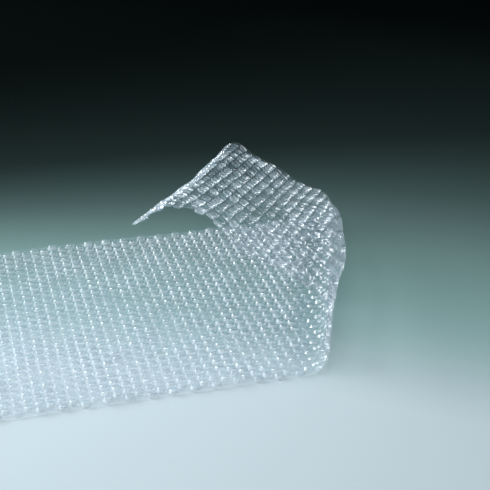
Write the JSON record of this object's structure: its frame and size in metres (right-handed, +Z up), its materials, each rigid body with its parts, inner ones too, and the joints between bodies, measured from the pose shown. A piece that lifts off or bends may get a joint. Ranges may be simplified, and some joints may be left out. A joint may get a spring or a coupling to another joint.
{
  "type": "length of bubble wrap",
  "caption": "Length of small-bubble cushioning film lying flat, bubbles up, with one end turned up and folded back over askew to make an open wrap.",
  "frame": {"origin": "middle of the part's footprint, on the surface that it lies on", "axes": "+Z up, +X along the film's length towards the turned-up end, +Y across the film away from the open mouth of the wrap"},
  "size_m": [0.406, 0.3722, 0.1272],
  "materials": {
    "clear_film": "clear polyethylene film, faintly blue, glossy with fine wrinkles",
    "clear_bubbles": "clear polyethylene blown into air bubbles, glossy with bright highlights"
  },
  "bodies": {
    "root": {"backing_film": "clear_film", "bubble_layer": "clear_bubbles"}
  },
  "joints": []
}
